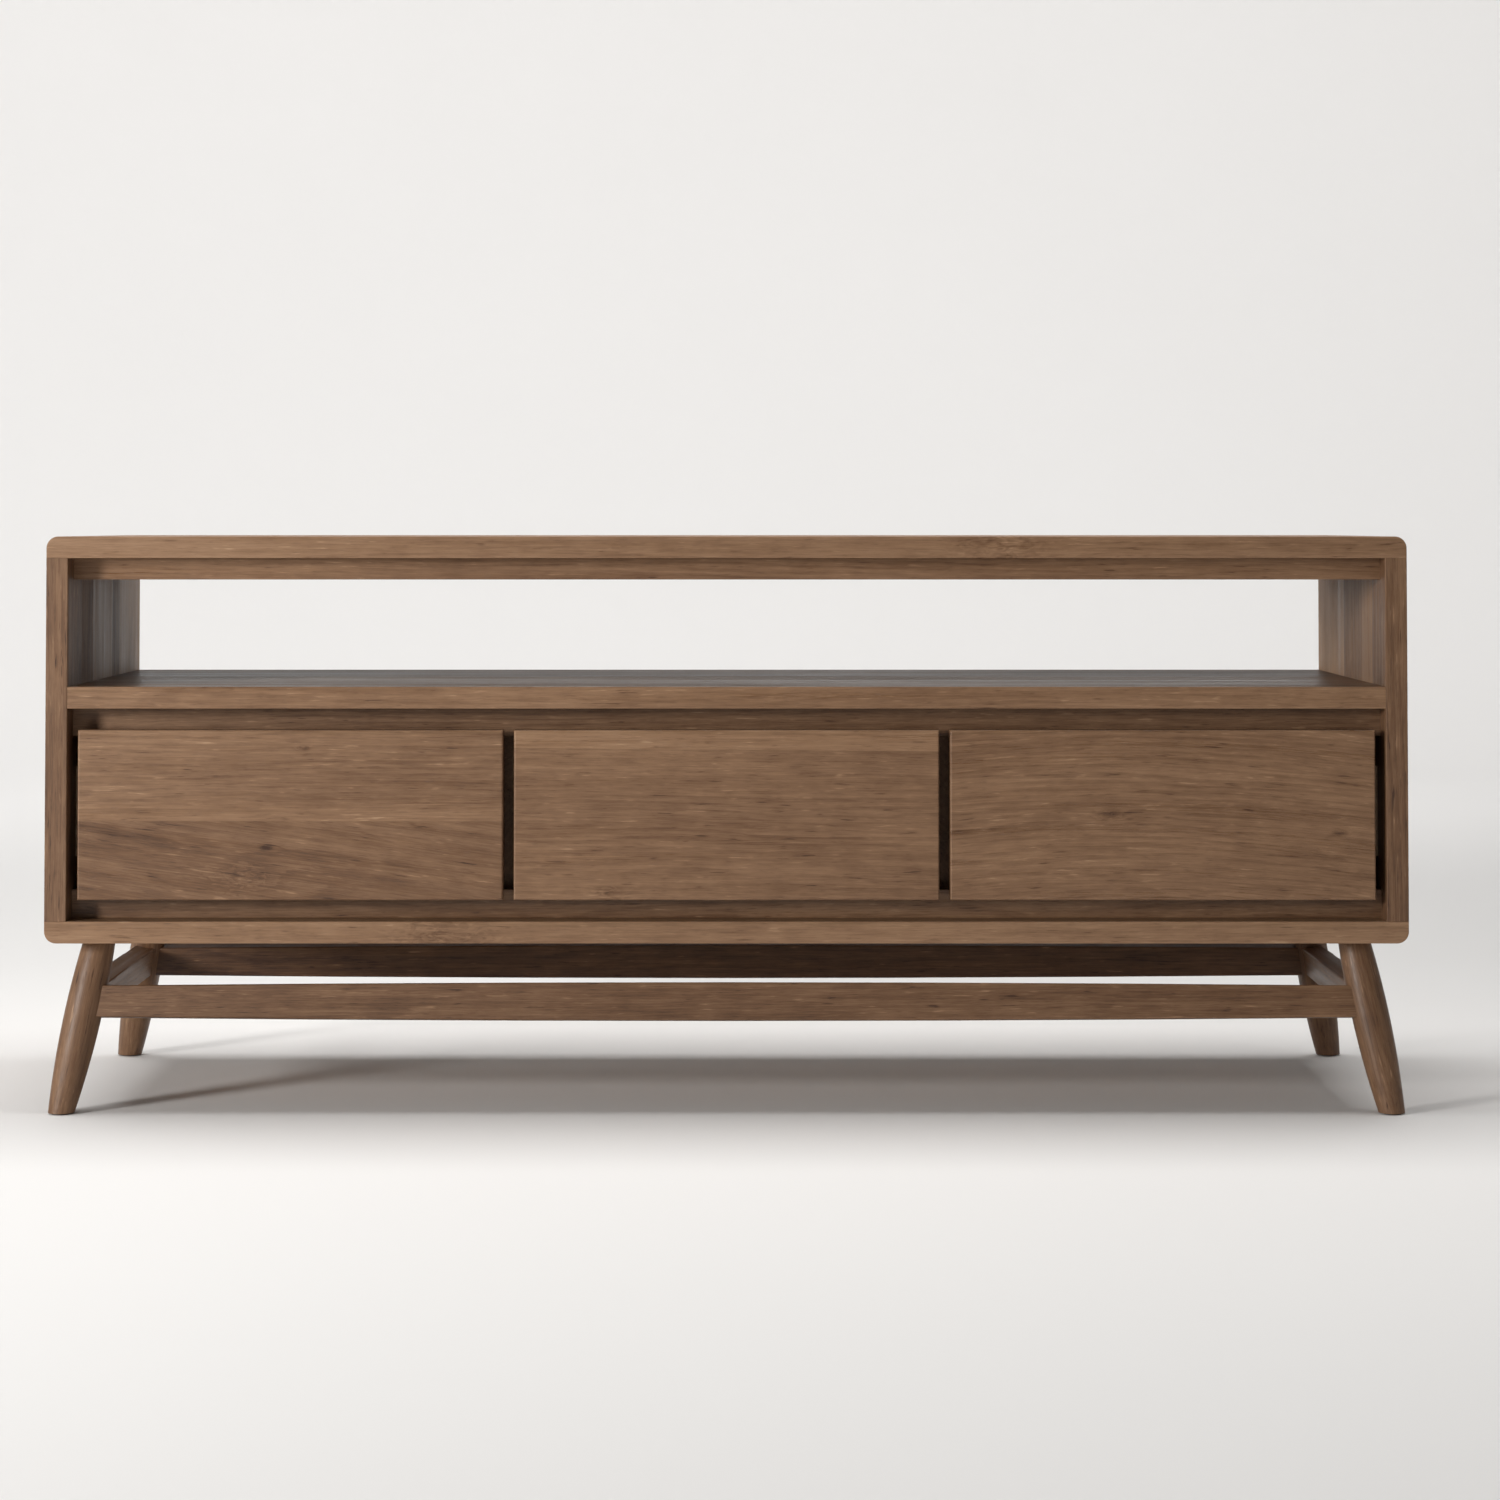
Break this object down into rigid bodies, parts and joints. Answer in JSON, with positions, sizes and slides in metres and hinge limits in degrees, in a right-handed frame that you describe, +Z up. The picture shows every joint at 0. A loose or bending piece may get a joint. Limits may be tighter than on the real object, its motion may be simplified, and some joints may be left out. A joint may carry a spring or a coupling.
{
  "type": "console television cabinet",
  "caption": "Low wooden media console: an open see-through shelf over handle-less drawers on ball-bearing slides, in a rounded carcass on splayed turned legs with stretchers.",
  "frame": {"origin": "on the floor, under the middle of the cabinet", "axes": "+X to the right along the cabinet, +Y from the front to the back, +Z up"},
  "size_m": [1.5, 0.45, 0.635],
  "materials": {
    "oiled_wood": "oiled, satin",
    "drawer_box_wood": "sanded, lightly sealed",
    "plywood": "veneered, sealed",
    "beech": "raw",
    "zinc_steel": "zinc plated, satin",
    "fixing_steel": "zinc plated",
    "nylon": "moulded, matte"
  },
  "bodies": {
    "cabinet": {"back_panel": "plywood", "back_panel_screws": "fixing_steel", "bottom_panel": "oiled_wood", "cabinet_slide_members": "zinc_steel", "cabinet_slide_screws": "fixing_steel", "carcass_dowels": "beech", "foot_glides": "nylon", "front_left_leg": "oiled_wood", "front_right_leg": "oiled_wood", "front_stretcher": "oiled_wood", "front_top_rail": "oiled_wood", "left_divider": "oiled_wood", "left_runner_batten": "oiled_wood", "left_side_panel": "oiled_wood", "left_stretcher": "oiled_wood", "leg_bolts": "fixing_steel", "leg_inserts": "fixing_steel", "lower_drawer_rail": "oiled_wood", "middle_shelf": "oiled_wood", "rear_left_leg": "oiled_wood", "rear_right_leg": "oiled_wood", "rear_stretcher": "oiled_wood", "rear_top_rail": "oiled_wood", "right_divider": "oiled_wood", "right_runner_batten": "oiled_wood", "right_side_panel": "oiled_wood", "right_stretcher": "oiled_wood", "stretcher_dowels": "beech", "top_panel": "oiled_wood", "upper_drawer_rail": "oiled_wood"},
    "left_drawer": {"left_drawer_back": "drawer_box_wood", "left_drawer_bottom": "plywood", "left_drawer_box_front": "drawer_box_wood", "left_drawer_dowels": "beech", "left_drawer_front": "oiled_wood", "left_drawer_left_side": "drawer_box_wood", "left_drawer_right_side": "drawer_box_wood", "left_drawer_screws": "fixing_steel", "left_drawer_slide_members": "zinc_steel"},
    "left_slide_middles": {"left_slide_middle_members": "zinc_steel"},
    "middle_drawer": {"middle_drawer_back": "drawer_box_wood", "middle_drawer_bottom": "plywood", "middle_drawer_box_front": "drawer_box_wood", "middle_drawer_dowels": "beech", "middle_drawer_front": "oiled_wood", "middle_drawer_left_side": "drawer_box_wood", "middle_drawer_right_side": "drawer_box_wood", "middle_drawer_screws": "fixing_steel", "middle_drawer_slide_members": "zinc_steel"},
    "middle_slide_middles": {"middle_slide_middle_members": "zinc_steel"},
    "right_drawer": {"right_drawer_back": "drawer_box_wood", "right_drawer_bottom": "plywood", "right_drawer_box_front": "drawer_box_wood", "right_drawer_dowels": "beech", "right_drawer_front": "oiled_wood", "right_drawer_left_side": "drawer_box_wood", "right_drawer_right_side": "drawer_box_wood", "right_drawer_screws": "fixing_steel", "right_drawer_slide_members": "zinc_steel"},
    "right_slide_middles": {"right_slide_middle_members": "zinc_steel"}
  },
  "joints": [
    {"name": "left_drawer_slide", "type": "slide", "parent": "cabinet", "child": "left_drawer", "axis": [0, -1, 0], "range_m": [0, 0.35]},
    {"name": "left_middle_member_slide", "type": "slide", "parent": "cabinet", "child": "left_slide_middles", "axis": [0, -1, 0], "range_m": [0, 0.175]},
    {"name": "middle_drawer_slide", "type": "slide", "parent": "cabinet", "child": "middle_drawer", "axis": [0, -1, 0], "range_m": [0, 0.35]},
    {"name": "middle_middle_member_slide", "type": "slide", "parent": "cabinet", "child": "middle_slide_middles", "axis": [0, -1, 0], "range_m": [0, 0.175]},
    {"name": "right_drawer_slide", "type": "slide", "parent": "cabinet", "child": "right_drawer", "axis": [0, -1, 0], "range_m": [0, 0.35]},
    {"name": "right_middle_member_slide", "type": "slide", "parent": "cabinet", "child": "right_slide_middles", "axis": [0, -1, 0], "range_m": [0, 0.175]}
  ],
  "couplings": [
    {"joint": "left_middle_member_slide", "follows": "left_drawer_slide", "ratio": 0.5},
    {"joint": "middle_middle_member_slide", "follows": "middle_drawer_slide", "ratio": 0.5},
    {"joint": "right_middle_member_slide", "follows": "right_drawer_slide", "ratio": 0.5}
  ]
}
